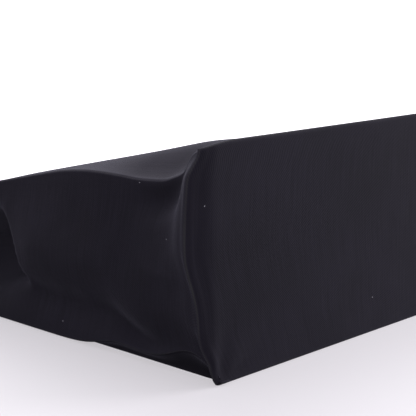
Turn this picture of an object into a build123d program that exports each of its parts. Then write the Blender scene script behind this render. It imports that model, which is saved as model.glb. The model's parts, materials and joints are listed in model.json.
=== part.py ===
from build123d import *
import math
import os

# Canvas tote bag with a boxed base, lying on its back panel.
# X is across the bag, +Y runs from the base to the mouth and +Z is up.
# The origin is the centre of the back panel's outer face. Lengths are in millimetres.

# Driving dimensions of the bag
BAG_WIDTH = 380.0
BAG_HEIGHT = 400.0
BAG_DEPTH = 120.0
MOUTH_HEIGHT = 32.0
CANVAS = 0.8

# The base panel's ends bulge past the gussets, where the end seams push outwards
BULGE = 20.0
BULGE_LOW_Z = 45.0
BULGE_HIGH_Z = 92.0

# Front panel and its fold along the top edge of the base
FOLD_GAP = 0.5
FOLD_CLEARANCE = 1.0
SIDE_CLEARANCE = 0.4

# Mouth facings and the turned hems of the gussets
FACING_DEPTH = 35.0
FACING_INSET = 3.0

# Stiffener board that stands inside the base
BOARD_THICK = 2.0
BOARD_MARGIN = 4.0
BOARD_TOP_GAP = 7.0

# Bound seam allowances inside the bag
BINDING_WIDTH = 10.0
BINDING_THICK = 1.6
BINDING_END_GAP = 4.0

# Handles: one folded canvas strap each, sewn inside the mouth at both ends
STRAP_WIDTH = 28.0
STRAP_THICK = 2.4
STRAP_SPACING = 130.0
STRAP_TAIL = 40.0
HANDLE_REACH = 265.0
GRIP_RADIUS = 62.0
PIVOT_GAP = 1.5
BEND_RADIUS = 1.5
HANDLE_LIFT = 0.5
FLOOR_GAP = 0.1

# Box-and-cross stitching over each strap end
STITCH_HEIGHT = 0.3
STITCH_WIDTH = 0.8
STITCH_MARGIN = 4.0
STITCH_LENGTH = 30.0

# Derived places
BASE_Y = -BAG_HEIGHT / 2
MOUTH_Y = BAG_HEIGHT / 2
HALF_WIDTH = BAG_WIDTH / 2
INNER_X = HALF_WIDTH - CANVAS
HEM_INNER_X = INNER_X - CANVAS
STRAP_XS = (-STRAP_SPACING / 2, STRAP_SPACING / 2)
SIDES = {"left": -1, "right": 1}

# The front panel hinges on the fold line and slopes down to the mouth
FOLD_Y = BASE_Y + CANVAS / 2
FOLD_Z = BAG_DEPTH - CANVAS / 2
MOUTH_Z = MOUTH_HEIGHT - CANVAS / 2
SLOPE = math.asin((FOLD_Z - MOUTH_Z) / BAG_HEIGHT)
ALONG_FRONT = (0, math.cos(SLOPE), -math.sin(SLOPE))
FRONT_NORMAL = (0, math.sin(SLOPE), math.cos(SLOPE))
FRONT_HALF_WIDTH = HEM_INNER_X - SIDE_CLEARANCE
FACING_HALF_WIDTH = HALF_WIDTH - FACING_INSET

# front_plane has local x across the bag, y from fold to mouth and z out of the panel.
# profile_plane cuts the front panel lengthwise: local x from fold to mouth, y out of it.
front_plane = Plane(origin=(0, FOLD_Y, FOLD_Z), x_dir=(1, 0, 0), z_dir=FRONT_NORMAL)
profile_plane = Plane(origin=(0, FOLD_Y, FOLD_Z), x_dir=ALONG_FRONT, z_dir=(1, 0, 0))

os.makedirs("parts", exist_ok=True)


def save(builder, name):
    """Label a finished piece and write its STEP file."""
    builder.part.label = name
    export_step(builder.part, f"parts/{name}.step")


def front_edge_z(y):
    """Height of the front panel's outer face at a distance y along the bag."""
    outer = CANVAS / 2 / math.cos(SLOPE)
    return FOLD_Z - (y - FOLD_Y) * math.tan(SLOPE) + outer


# ---------------------------------------------------------------- canvas panels

with BuildPart() as back_panel:
    with BuildSketch(Plane.XY):
        with Locations((0, CANVAS / 2)):
            Rectangle(BAG_WIDTH, BAG_HEIGHT - CANVAS)
    extrude(amount=CANVAS)
save(back_panel, "back_panel")

# The base stands upright. Its ends are cut back at the corners and bulge between them.
with BuildPart() as base_panel:
    with BuildSketch(Plane.XZ.offset(-BASE_Y - CANVAS)):
        with BuildLine():
            Polyline(
                (-HALF_WIDTH, 0),
                (-HALF_WIDTH - BULGE, BULGE_LOW_Z),
                (-HALF_WIDTH - BULGE, BULGE_HIGH_Z),
                (-HALF_WIDTH, FOLD_Z - FOLD_CLEARANCE),
                (HALF_WIDTH, FOLD_Z - FOLD_CLEARANCE),
                (HALF_WIDTH + BULGE, BULGE_HIGH_Z),
                (HALF_WIDTH + BULGE, BULGE_LOW_Z),
                (HALF_WIDTH, 0),
                close=True,
            )
        make_face()
    extrude(amount=CANVAS)
save(base_panel, "base_panel")

with BuildPart() as front_panel:
    with BuildSketch(front_plane.offset(-CANVAS / 2)):
        with Locations((0, (BAG_HEIGHT + FOLD_GAP) / 2)):
            Rectangle(2 * FRONT_HALF_WIDTH, BAG_HEIGHT - FOLD_GAP)
    extrude(amount=CANVAS)
save(front_panel, "front_panel")

for side, sign in SIDES.items():
    gusset_plane = Plane.YZ.offset(INNER_X if sign > 0 else -HALF_WIDTH)
    with BuildPart() as gusset:
        with BuildSketch(gusset_plane):
            with BuildLine():
                Polyline(
                    (BASE_Y + CANVAS, CANVAS),
                    (MOUTH_Y, CANVAS),
                    (MOUTH_Y, front_edge_z(MOUTH_Y)),
                    (BASE_Y + CANVAS, front_edge_z(BASE_Y + CANVAS)),
                    close=True,
                )
            make_face()
        extrude(amount=CANVAS)
    save(gusset, f"{side}_gusset")

    # The gusset's mouth edge is turned in once and stitched down.
    hem_plane = Plane.YZ.offset(HEM_INNER_X if sign > 0 else -INNER_X)
    with BuildPart() as gusset_hem:
        with BuildSketch(hem_plane):
            with BuildLine():
                Polyline(
                    (MOUTH_Y - FACING_DEPTH, CANVAS),
                    (MOUTH_Y, CANVAS),
                    (MOUTH_Y, front_edge_z(MOUTH_Y) - CANVAS),
                    (MOUTH_Y - FACING_DEPTH, front_edge_z(MOUTH_Y - FACING_DEPTH) - CANVAS),
                    close=True,
                )
            make_face()
        extrude(amount=CANVAS)
    save(gusset_hem, f"{side}_gusset_hem")

# ------------------------------------------------------------- facings at the mouth

with BuildPart() as back_facing:
    with BuildSketch(Plane.XY.offset(CANVAS)):
        with Locations((0, MOUTH_Y - FACING_DEPTH / 2)):
            Rectangle(2 * FACING_HALF_WIDTH, FACING_DEPTH)
    extrude(amount=CANVAS)
save(back_facing, "back_facing")

with BuildPart() as front_facing:
    with BuildSketch(front_plane.offset(-CANVAS / 2)):
        with Locations((0, BAG_HEIGHT - FACING_DEPTH / 2)):
            Rectangle(2 * FACING_HALF_WIDTH, FACING_DEPTH)
    extrude(amount=-CANVAS)
save(front_facing, "front_facing")

# ------------------------------------------------------ board and bound seams inside

with BuildPart() as base_board:
    with BuildSketch(Plane.XZ.offset(-BASE_Y - CANVAS)):
        with Locations((0, CANVAS + (BAG_DEPTH - BOARD_TOP_GAP) / 2)):
            RectangleRounded(BAG_WIDTH - 2 * BOARD_MARGIN, BAG_DEPTH - BOARD_TOP_GAP, BOARD_MARGIN)
    extrude(amount=-BOARD_THICK)
save(base_board, "base_board")

for side, sign in SIDES.items():
    base_binding_x = sign * (INNER_X - BINDING_THICK / 2)
    base_binding_height = BAG_DEPTH - BOARD_TOP_GAP - CANVAS - BINDING_THICK
    with BuildPart() as base_binding:
        with BuildSketch(Plane.XY.offset(CANVAS + BINDING_THICK)):
            with Locations((base_binding_x, BASE_Y + CANVAS + BINDING_WIDTH / 2)):
                Rectangle(BINDING_THICK, BINDING_WIDTH)
        extrude(amount=base_binding_height)
    save(base_binding, f"{side}_base_binding")

    back_binding_length = BAG_HEIGHT - FACING_DEPTH - CANVAS - 2 * BINDING_END_GAP
    back_binding_y = MOUTH_Y - FACING_DEPTH - BINDING_END_GAP - back_binding_length / 2
    with BuildPart() as back_binding:
        with BuildSketch(Plane.XY.offset(CANVAS)):
            with Locations((sign * (INNER_X - BINDING_WIDTH / 2), back_binding_y)):
                Rectangle(BINDING_WIDTH, back_binding_length)
        extrude(amount=BINDING_THICK)
    save(back_binding, f"{side}_back_binding")

# -------------------------------------------------------- strap ends and stitching

FRONT_TAIL_N = -CANVAS / 2 - CANVAS
BACK_TAIL_Z = 2 * CANVAS

with BuildPart() as front_strap_ends:
    with BuildSketch(front_plane.offset(FRONT_TAIL_N)):
        with Locations(*[(x, BAG_HEIGHT - STRAP_TAIL / 2) for x in STRAP_XS]):
            Rectangle(STRAP_WIDTH, STRAP_TAIL)
    extrude(amount=-STRAP_THICK)
save(front_strap_ends, "front_strap_ends")

with BuildPart() as back_strap_ends:
    with BuildSketch(Plane.XY.offset(BACK_TAIL_Z)):
        with Locations(*[(x, MOUTH_Y - STRAP_TAIL / 2) for x in STRAP_XS]):
            Rectangle(STRAP_WIDTH, STRAP_TAIL)
    extrude(amount=STRAP_THICK)
save(back_strap_ends, "back_strap_ends")

STITCH_ACROSS = STRAP_WIDTH - 2 * STITCH_MARGIN
STITCH_DIAGONAL = math.hypot(STITCH_ACROSS, STITCH_LENGTH) - STITCH_WIDTH
STITCH_ANGLE = math.degrees(math.atan2(STITCH_LENGTH, STITCH_ACROSS))


def box_and_cross(places):
    """Sketch a stitched rectangle with both diagonals at each place."""
    with Locations(*places):
        Rectangle(STITCH_ACROSS, STITCH_LENGTH)
        Rectangle(
            STITCH_ACROSS - 2 * STITCH_WIDTH,
            STITCH_LENGTH - 2 * STITCH_WIDTH,
            mode=Mode.SUBTRACT,
        )
        Rectangle(STITCH_DIAGONAL, STITCH_WIDTH, rotation=STITCH_ANGLE)
        Rectangle(STITCH_DIAGONAL, STITCH_WIDTH, rotation=-STITCH_ANGLE)


STITCH_FROM_EDGE = STITCH_MARGIN + STITCH_LENGTH / 2

with BuildPart() as front_strap_stitches:
    with BuildSketch(front_plane.offset(FRONT_TAIL_N - STRAP_THICK)):
        box_and_cross([(x, BAG_HEIGHT - STITCH_FROM_EDGE) for x in STRAP_XS])
    extrude(amount=-STITCH_HEIGHT)
save(front_strap_stitches, "front_strap_stitches")

with BuildPart() as back_strap_stitches:
    with BuildSketch(Plane.XY.offset(BACK_TAIL_Z + STRAP_THICK)):
        box_and_cross([(x, MOUTH_Y - STITCH_FROM_EDGE) for x in STRAP_XS])
    extrude(amount=STITCH_HEIGHT)
save(back_strap_stitches, "back_strap_stitches")

# ------------------------------------------------------------------------ handles

HALF_STRAP = STRAP_THICK / 2
GRIP_HALF_SPAN = (STRAP_SPACING + STRAP_WIDTH) / 2


def loop_outline(root, grip):
    """Outline of a strap loop laid flat: two legs from root, joined by a rounded grip."""
    outer = GRIP_HALF_SPAN
    inner = GRIP_HALF_SPAN - STRAP_WIDTH
    grip_inside = grip + math.copysign(STRAP_WIDTH, root - grip)
    FilletPolyline(
        (outer, root), (outer, grip), (-outer, grip), (-outer, root), radius=GRIP_RADIUS
    )
    Line((-outer, root), (-inner, root))
    FilletPolyline(
        (-inner, root),
        (-inner, grip_inside),
        (inner, grip_inside),
        (inner, root),
        radius=GRIP_RADIUS - STRAP_WIDTH,
    )
    Line((inner, root), (outer, root))


# The front handle turns up round the mouth edge and lies back over the front panel.
FRONT_PIVOT_S = BAG_HEIGHT + PIVOT_GAP
FRONT_PIVOT_N = FRONT_TAIL_N - HALF_STRAP
OUTER_BEND = BEND_RADIUS + HALF_STRAP
INNER_BEND = BEND_RADIUS - HALF_STRAP
BEND_S = FRONT_PIVOT_S - BEND_RADIUS
BEND_N = CANVAS / 2 + HANDLE_LIFT - INNER_BEND

with BuildPart() as front_handle:
    with BuildSketch(front_plane.offset(BEND_N + INNER_BEND)):
        with BuildLine():
            loop_outline(BEND_S, FRONT_PIVOT_S - HANDLE_REACH)
        make_face()
    extrude(amount=STRAP_THICK)
    for strap_x in STRAP_XS:
        with BuildSketch(profile_plane.offset(strap_x - STRAP_WIDTH / 2)):
            with BuildLine():
                Line((FRONT_PIVOT_S + HALF_STRAP, FRONT_PIVOT_N), (FRONT_PIVOT_S + HALF_STRAP, BEND_N))
                CenterArc((BEND_S, BEND_N), OUTER_BEND, 0, 90)
                Line((BEND_S, BEND_N + OUTER_BEND), (BEND_S, BEND_N + INNER_BEND))
                CenterArc((BEND_S, BEND_N), INNER_BEND, 0, 90)
                Line((FRONT_PIVOT_S - HALF_STRAP, BEND_N), (FRONT_PIVOT_S - HALF_STRAP, FRONT_PIVOT_N))
                CenterArc((FRONT_PIVOT_S, FRONT_PIVOT_N), HALF_STRAP, 180, 180)
            make_face()
        extrude(amount=STRAP_WIDTH)
save(front_handle, "front_handle")

# The back handle lies out flat beyond the mouth, dropping slightly on to the table.
BACK_PIVOT_Y = MOUTH_Y + PIVOT_GAP
BACK_PIVOT_Z = BACK_TAIL_Z + HALF_STRAP
DROOP = math.asin((BACK_PIVOT_Z - HALF_STRAP - FLOOR_GAP) / HANDLE_REACH)
BACK_PIVOT = (0, BACK_PIVOT_Y, BACK_PIVOT_Z)
droop_normal = (0, math.sin(DROOP), math.cos(DROOP))
droop_plane = Plane(origin=BACK_PIVOT, x_dir=(1, 0, 0), z_dir=droop_normal)

with BuildPart() as back_handle:
    with BuildSketch(droop_plane.offset(-HALF_STRAP)):
        with BuildLine():
            loop_outline(0, HANDLE_REACH)
        make_face()
    extrude(amount=STRAP_THICK)
    for strap_x in STRAP_XS:
        with Locations(droop_plane):
            with Locations(Location((strap_x, 0, 0), (0, 90, 0))):
                Cylinder(HALF_STRAP, STRAP_WIDTH)
save(back_handle, "back_handle")

front_pivot = front_plane.from_local_coords((0, FRONT_PIVOT_S, FRONT_PIVOT_N))
print("front panel hinge", (0, FOLD_Y, FOLD_Z), "slope", round(math.degrees(SLOPE), 3))
print("front handle pivot", front_pivot)
print("back handle pivot", BACK_PIVOT)
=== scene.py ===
"""Canvas tote bag lying on its back panel: cloth, straps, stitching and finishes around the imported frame.

X is across the bag, +Y runs from the base to the mouth and +Z is up. Lengths are in metres.
"""

import json
import logging
import math
from collections.abc import Callable, Iterable, Sequence
from dataclasses import dataclass, field
from enum import Enum
from functools import lru_cache

import bpy
from mathutils import Matrix, Vector, noise


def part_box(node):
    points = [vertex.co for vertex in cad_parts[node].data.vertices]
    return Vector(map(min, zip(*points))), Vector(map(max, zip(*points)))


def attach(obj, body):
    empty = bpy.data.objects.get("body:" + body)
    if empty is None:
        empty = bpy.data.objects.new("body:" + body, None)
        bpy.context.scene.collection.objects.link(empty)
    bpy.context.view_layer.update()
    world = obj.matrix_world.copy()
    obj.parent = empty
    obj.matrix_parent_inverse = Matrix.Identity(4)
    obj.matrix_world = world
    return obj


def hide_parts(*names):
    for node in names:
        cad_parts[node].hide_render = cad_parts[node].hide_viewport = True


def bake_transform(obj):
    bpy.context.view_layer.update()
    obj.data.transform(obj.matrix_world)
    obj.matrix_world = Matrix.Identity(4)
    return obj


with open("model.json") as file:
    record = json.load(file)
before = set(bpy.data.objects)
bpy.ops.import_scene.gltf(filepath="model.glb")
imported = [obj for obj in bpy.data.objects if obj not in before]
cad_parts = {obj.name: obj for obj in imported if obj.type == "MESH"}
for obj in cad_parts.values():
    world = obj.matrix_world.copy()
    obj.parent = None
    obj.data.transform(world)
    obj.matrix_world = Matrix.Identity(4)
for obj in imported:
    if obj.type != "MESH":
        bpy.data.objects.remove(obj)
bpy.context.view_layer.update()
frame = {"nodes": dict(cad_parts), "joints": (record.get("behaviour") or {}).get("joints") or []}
LOG = logging.getLogger("tote_bag")

CANVAS = 0.00075
LAYER_GAP = 0.00005
STITCH_LIFT = 0.00008
SLOPE = math.asin(0.22)

Place = Callable[[float, float], Vector]


# ------------------------------------------------------------------ small helpers


class Side(Enum):
    """The two ends of the bag across its width."""

    LEFT = -1
    RIGHT = 1


class EdgeKind(Enum):
    """How a cloth panel ends at one of its edges."""

    PLAIN = "plain"
    FOLD = "fold"
    SEAM = "seam"


def ease(low: float, high: float, value: float) -> float:
    """Smooth step from 0 at low to 1 at high."""
    t = min(max((value - low) / (high - low), 0.0), 1.0)
    return t * t * (3 - 2 * t)


def bell(value: float, centre: float, width: float) -> float:
    """Smooth hump that is 1 at centre and fades over width."""
    return math.exp(-(((value - centre) / width) ** 2))


@lru_cache(maxsize=500_000)
def curve_through(points: tuple[tuple[float, float], ...], at: float) -> float:
    """Height of a smooth curve through a few points.

    Args:
        points: Pairs of place and height, in rising order of place.
        at: The place to read, held within the first and last point.

    Returns:
        The height of the curve there.
    """
    at = min(max(at, points[0][0]), points[-1][0])
    last = len(points) - 1
    i = next(k for k in range(last) if at <= points[k + 1][0])

    def slope(k: int) -> float:
        """Slope of the curve at one of its points."""
        a, b = points[max(k - 1, 0)], points[min(k + 1, last)]
        return (b[1] - a[1]) / (b[0] - a[0])

    (x0, y0), (x1, y1) = points[i], points[i + 1]
    span = x1 - x0
    t = (at - x0) / span
    h = t * t * (3 - 2 * t)
    return (
        (1 - h) * y0
        + h * y1
        + span * t * (1 - t) * ((1 - t) * slope(i) - t * slope(i + 1))
    )


def wavy(p: float, q: float, size: float, seed: float) -> float:
    """Seeded smooth noise from about -1 to 1, with waves about size long."""
    return noise.noise(Vector((p / size, q / size, seed)))


# ------------------------------------------------------------------ the bag's form


@dataclass(frozen=True)
class SideForm:
    """How one gusset and the edges round it have settled."""

    side: Side
    # Distance down the front's edge and how far the edge has sunk there
    dip: tuple[tuple[float, float], ...]
    # Distance up the back seam from the base and its height above the table there
    lift: tuple[tuple[float, float], ...]
    flap: float
    ridge: float
    seed: float


LEFT_DIP = (
    (0.0, 0.0028),
    (0.0078, 0.0038),
    (0.014, 0.0068),
    (0.0194, 0.0103),
    (0.0245, 0.0124),
    (0.031, 0.0135),
    (0.038, 0.0142),
    (0.046, 0.0135),
    (0.060, 0.0111),
    (0.072, 0.0078),
    (0.086, 0.0044),
    (0.100, 0.0020),
    (0.118, 0.0003),
    (0.140, 0.0),
)
RIGHT_DIP = (
    (0.0, 0.0022),
    (0.010, 0.0036),
    (0.018, 0.0066),
    (0.028, 0.0098),
    (0.040, 0.0113),
    (0.055, 0.0108),
    (0.078, 0.0080),
    (0.102, 0.0040),
    (0.130, 0.0009),
    (0.160, 0.0),
)
LEFT_LIFT = (
    (0.0, 0.0008),
    (0.004, 0.0065),
    (0.008, 0.0108),
    (0.012, 0.0132),
    (0.018, 0.0140),
    (0.025, 0.0126),
    (0.034, 0.0092),
    (0.042, 0.0071),
    (0.052, 0.0065),
    (0.063, 0.0070),
    (0.073, 0.0072),
    (0.086, 0.0046),
    (0.098, 0.0020),
    (0.112, 0.0010),
    (0.140, 0.0008),
)
RIGHT_LIFT = (
    (0.0, 0.0008),
    (0.008, 0.0052),
    (0.018, 0.0088),
    (0.028, 0.0090),
    (0.040, 0.0062),
    (0.058, 0.0038),
    (0.080, 0.0046),
    (0.100, 0.0026),
    (0.125, 0.0008),
)
LEFT_FORM = SideForm(Side.LEFT, LEFT_DIP, LEFT_LIFT, 1.0, 0.150, 3.1)
RIGHT_FORM = SideForm(Side.RIGHT, RIGHT_DIP, RIGHT_LIFT, 0.92, 0.165, 8.7)


@dataclass(frozen=True)
class BagForm:
    """The settled shape of the whole bag, which every panel, strap and stitch follows."""

    half_width: float
    base_y: float
    length: float
    depth: float
    hinge: Vector
    slope: float
    sides: tuple[SideForm, SideForm] = (LEFT_FORM, RIGHT_FORM)
    gusset_cut: float = 0.120
    dip_reach: float = 0.036
    corner_reach: float = 0.025
    dip_inward: float = 0.004
    flare_length: float = 0.018
    flap_out: float = 0.724
    flap_back: float = 0.262
    back_lip: float = 0.0078
    fold_depth: float = 0.054
    front_sag: float = 0.0035
    crest: float = 0.0022
    seam_puff: float = 0.0008
    # Distance up a gusset from the base and how far across it the low crease runs there
    valley: tuple[tuple[float, float], ...] = (
        (0.0, 0.05),
        (0.030, 0.07),
        (0.045, 0.11),
        (0.060, 0.17),
        (0.075, 0.24),
        (0.095, 0.28),
        (0.120, 0.30),
        (0.150, 0.33),
        (0.200, 0.38),
    )
    # Height above the table and how far the base's end seam stands out past the side
    end_seam: tuple[tuple[float, float], ...] = (
        (0.0, -0.0030),
        (0.0020, -0.0006),
        (0.0065, 0.0026),
        (0.0120, 0.0046),
        (0.0166, 0.0074),
        (0.0215, 0.0103),
        (0.0280, 0.0118),
        (0.0345, 0.0124),
        (0.0420, 0.0137),
        (0.0500, 0.0163),
        (0.0575, 0.0192),
        (0.0660, 0.0213),
        (0.0820, 0.0212),
        (0.0980, 0.0200),
        (0.1025, 0.0194),
        (0.1055, 0.0182),
        (0.1095, 0.0148),
        (0.1140, 0.0116),
        (0.1172, 0.0110),
    )

    @property
    def along(self) -> Vector:
        """Direction down the front panel, from the fold to the mouth."""
        return Vector((0, math.cos(self.slope), -math.sin(self.slope)))

    @property
    def normal(self) -> Vector:
        """Direction out of the front panel."""
        return Vector((0, math.sin(self.slope), math.cos(self.slope)))

    def side(self, side: Side) -> SideForm:
        """The settled form of one side."""
        return self.sides[0] if side is Side.LEFT else self.sides[1]

    def seam_out(self, side: Side, height: float) -> float:
        """How far the base's end seam stands out past the side, measured on the cloth."""
        out = curve_through(self.end_seam, height)
        return out * self.side(side).flap if out > 0 else out

    def flap(self, side: Side, share: float, out: float) -> tuple[float, float]:
        """Where the cloth turns back past the bag's side.

        Args:
            side: The side.
            share: Share of the way from the bag's middle to the cloth's edge.
            out: How far the edge stands out past the side, on the cloth.

        Returns:
            Place across the bag and distance back from the base's plane.
        """
        across = share * (self.half_width + out)
        past = max(0.0, across - self.half_width)
        back = self.flap_back * past * math.sqrt(past / out) if past else 0.0
        return side.value * (min(across, self.half_width) + self.flap_out * past), back

    def dip_at(self, side: Side, s: float) -> float:
        """How far the front's edge has sunk at s down the panel."""
        return curve_through(self.side(side).dip, s)

    def sunk_share(self, from_edge: float, s: float) -> float:
        """Share of the edge's dip that reaches a place on the front panel.

        Args:
            from_edge: Distance in from the panel's edge.
            s: Distance down the panel from the fold.

        Returns:
            The share, from 0 to 1.
        """
        at_corner = max(0.0, 1 - from_edge / self.corner_reach) ** 1.8
        beyond = 1 - ease(0, self.dip_reach, from_edge)
        k = ease(0.004, 0.024, s)
        return (1 - k) * at_corner + k * beyond

    def edge_out(self, side: Side, s: float) -> float:
        """How far the front's edge stands out past the side at s down the panel."""
        return self.seam_out(side, 1.0) * math.exp(-s / self.flare_length)

    def front_drop(self, share: float, s: float) -> float:
        """How far the front panel lies under its flat plane.

        Args:
            share: Place across, from -1 to 1 at its edges.
            s: Distance down the panel from the fold.

        Returns:
            The drop, measured straight down.
        """
        drop = 0.0
        # The edges sink, with a low crest beside each dip
        for form in self.sides:
            side = form.side
            from_edge = (1 - side.value * share) * (self.half_width + self.edge_out(side, s))
            drop += self.dip_at(side, s) * self.sunk_share(from_edge, s)
            held = ease(0.0, 0.045, s) * (1 - ease(0.170, 0.260, s))
            drop -= self.crest * bell(from_edge, 0.032, 0.016) * held
        # The middle sags and waves a little towards the mouth
        across = 1 - share**2
        drop += self.front_sag * across * math.sin(math.pi * min(s / self.length, 1)) ** 0.8
        x = share * self.half_width
        waves = math.sin(2 * math.pi * x / 0.17 + 0.9) + 0.6 * math.sin(2 * math.pi * x / 0.095)
        return drop + 0.0009 * waves * across * ease(0.12, self.length, s)

    def front(self, p: float, s: float) -> Vector:
        """Point of the front panel's outer face.

        Args:
            p: Place across the panel's cut width, from its middle.
            s: Distance down the panel from the fold.

        Returns:
            The point.
        """
        side = Side.LEFT if p < 0 else Side.RIGHT
        share = p / self.half_width
        inward = self.dip_inward * ease(0.003, 0.014, self.dip_at(side, s)) * abs(share) ** 6
        x, back = self.flap(side, abs(share), self.edge_out(side, s))
        drop = self.front_drop(share, s)
        return Vector(
            (
                x - side.value * inward,
                self.base_y + back + s * math.cos(self.slope),
                self.depth - s * math.sin(self.slope) - drop,
            )
        )

    def back_edge(self, side: Side, v: float) -> Vector:
        """Point of the seam between the back panel and a gusset.

        Args:
            side: The side.
            v: Distance from the base.

        Returns:
            The point.
        """
        f = self.side(side)
        z = curve_through(f.lift, v)
        inward = 0.0025 * (1 - ease(0, 0.012, v))
        return Vector((side.value * (self.half_width - inward), self.base_y + v, z))

    def back(self, p: float, v: float) -> Vector:
        """Point of the back panel's lower face: flat on the table, curling up to its side seams.

        Args:
            p: Place across the panel's cut width, from its middle.
            v: Distance from the base.

        Returns:
            The point.
        """
        side = Side.LEFT if p < 0 else Side.RIGHT
        edge = self.back_edge(side, v)
        share = abs(p) / self.half_width
        from_edge = (1 - share) * self.half_width
        curl = max(0.0, 1 - from_edge / self.back_lip)
        return Vector((edge.x * share, self.base_y + v, edge.z * math.sqrt(curl)))

    def tuck_share(self, r: float) -> float:
        """Profile of the gusset's deep fold, from the back seam at 0 to the front fold at 1."""
        return ease(0.03, 0.42, r) if r < 0.50 else ease(0.06, 0.50, 1 - r)

    def gusset_inward(self, f: SideForm, v: float, r: float) -> float:
        """How far the gusset lies inside the bag's side plane.

        Args:
            f: The side's settled form.
            v: Distance from the base.
            r: Share of the way up the gusset, from its back seam.

        Returns:
            The distance inwards.
        """
        # The low crease, with the cloth standing out above it
        turned = curve_through(self.valley, v)
        held = ease(0.010, 0.060, v) * (1 - ease(0.135, 0.170, v))
        valley = 0.0050 * bell(r, turned - 0.08, 0.10) * held
        swell = 0.0046 * bell(r, turned + 0.20, 0.20) * held
        swell += 0.0020 * bell(v, 0.125, 0.035) * bell(r, 0.62, 0.28)
        # The hollow under the sunken corner, and a small pinch by the end seam
        recess = 0.0060 * bell(v, 0.036, 0.022) * bell(r, 0.87, 0.08)
        crease = 0.0011 * bell((v - 0.030) * 0.43 - (r * 0.1 - 0.045) * 0.9, 0, 0.0035)
        crease *= bell(v, 0.030, 0.018)
        # The deep fold, which starts nearer the base low down than it does high up
        turn = f.ridge - 0.006 * (1 - ease(0.25, 0.45, r)) + 0.018 * ease(0.35, 0.95, r)
        width = 0.020 + 0.040 * (1 - ease(0.10, 0.36, r))
        deep = 0.030 + (self.fold_depth - 0.030) * ease(0.16, 0.36, v)
        tuck = deep * self.tuck_share(r) * ease(turn, turn + width, v)
        return (valley - swell + recess - crease) * ease(0.0, 0.022, v) + tuck

    def gusset(self, side: Side, v: float, q: float) -> Vector:
        """Point of a gusset's outer face.

        Args:
            side: The side.
            v: Distance from the base.
            q: Place across the gusset's cut width, from its back seam.

        Returns:
            The point.
        """
        f = self.side(side)
        r = q / self.gusset_cut
        low, high = self.back_edge(side, v), self.front(side.value * self.half_width, v)
        foot, head = self.back_edge(side, 0).z, self.front(side.value * self.half_width, 0).z
        out = self.seam_out(side, foot * (1 - r) + head * r)
        flare = math.exp(-v / (self.flare_length + 0.056 * r * (1 - r)))
        top_out = self.edge_out(side, v)
        straight_x = high.x - side.value * self.flap_out * top_out
        x = low.x * (1 - r) + straight_x * r
        edges = ease(0, 0.07, r) * ease(0, 0.07, 1 - r)
        puff = self.seam_puff * bell(v, 0.0030, 0.0024) * edges
        inward = (self.gusset_inward(f, v, r) - puff) * edges - self.flap_out * out * flare
        if out < 0:
            inward = -out * flare * 0.2 * r
        y = low.y * (1 - r) + (high.y - self.flap_back * top_out) * r
        y += self.flap_back * max(out, 0) * flare
        return Vector((x - side.value * inward, y, low.z * (1 - r) + high.z * r))

    def base(self, p: float, q: float) -> Vector:
        """Point of the base's outer face.

        Args:
            p: Place across the cloth, from -1 to 1 at the end seams.
            q: Height up the cloth from the table.

        Returns:
            The point.
        """
        side = Side.LEFT if p < 0 else Side.RIGHT
        edge = self.seam_out(side, 1.0)
        from_edge = (1 - abs(p)) * (self.half_width + edge)
        drop = self.dip_at(side, 0) * self.sunk_share(from_edge, 0)
        z = q * (1 - drop / self.depth)
        out = self.seam_out(side, z)
        if out <= 0:
            return Vector((p * (self.half_width + out), self.base_y, z))
        x, back = self.flap(side, abs(p), out)
        return Vector((x, self.base_y + back, z))


def read_form() -> BagForm:
    """Work the bag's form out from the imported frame.

    Returns:
        The form, with its sizes read from the panels and the mouth's hinge.
    """
    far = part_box("back_panel")[1]
    hinge = Vector(next(j for j in frame["joints"] if j["name"] == "mouth_opening")["pos_m"])
    base_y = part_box("base_panel")[0].y
    skin = hinge.y - base_y
    LOG.info("the mouth's hinge is at %s, %.4f under the cloth", tuple(hinge), skin)
    return BagForm(far.x, base_y, far.y - base_y, hinge.z + skin, hinge, SLOPE)


# ------------------------------------------------------------------ cloth surfaces


@dataclass(frozen=True)
class Relief:
    """Low creases and slack of a panel, which fade out at its edges."""

    height: float = 0.0
    size: float = 0.05
    fine_height: float = 0.0
    fine_size: float = 0.016
    seed: float = 0.0
    fade: float = 0.014
    extra: Callable[[float, float], float] | None = None

    def at(self, p: float, q: float, from_edge: float) -> float:
        """Height of the relief.

        Args:
            p: Place along the panel's first length.
            q: Place along its second length.
            from_edge: Distance to the nearest edge.

        Returns:
            The height, outwards.
        """
        if from_edge <= 0:
            return 0.0
        h = self.height * wavy(p, q, self.size, self.seed)
        h += self.fine_height * wavy(p, q, self.fine_size, self.seed + 4)
        if self.extra:
            h += self.extra(p, q)
        return h * ease(0, self.fade, from_edge)


def wear(from_edge: float) -> float:
    """Edge wear and painted highlight at a distance from the panel's edge: a thin bright line along the
    fold or seam and a lighter band beside it.
    """
    return 0.6 * bell(from_edge, 0.0006, 0.0006) + 0.12 * math.exp(-max(from_edge, 0.0) / 0.010)


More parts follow.
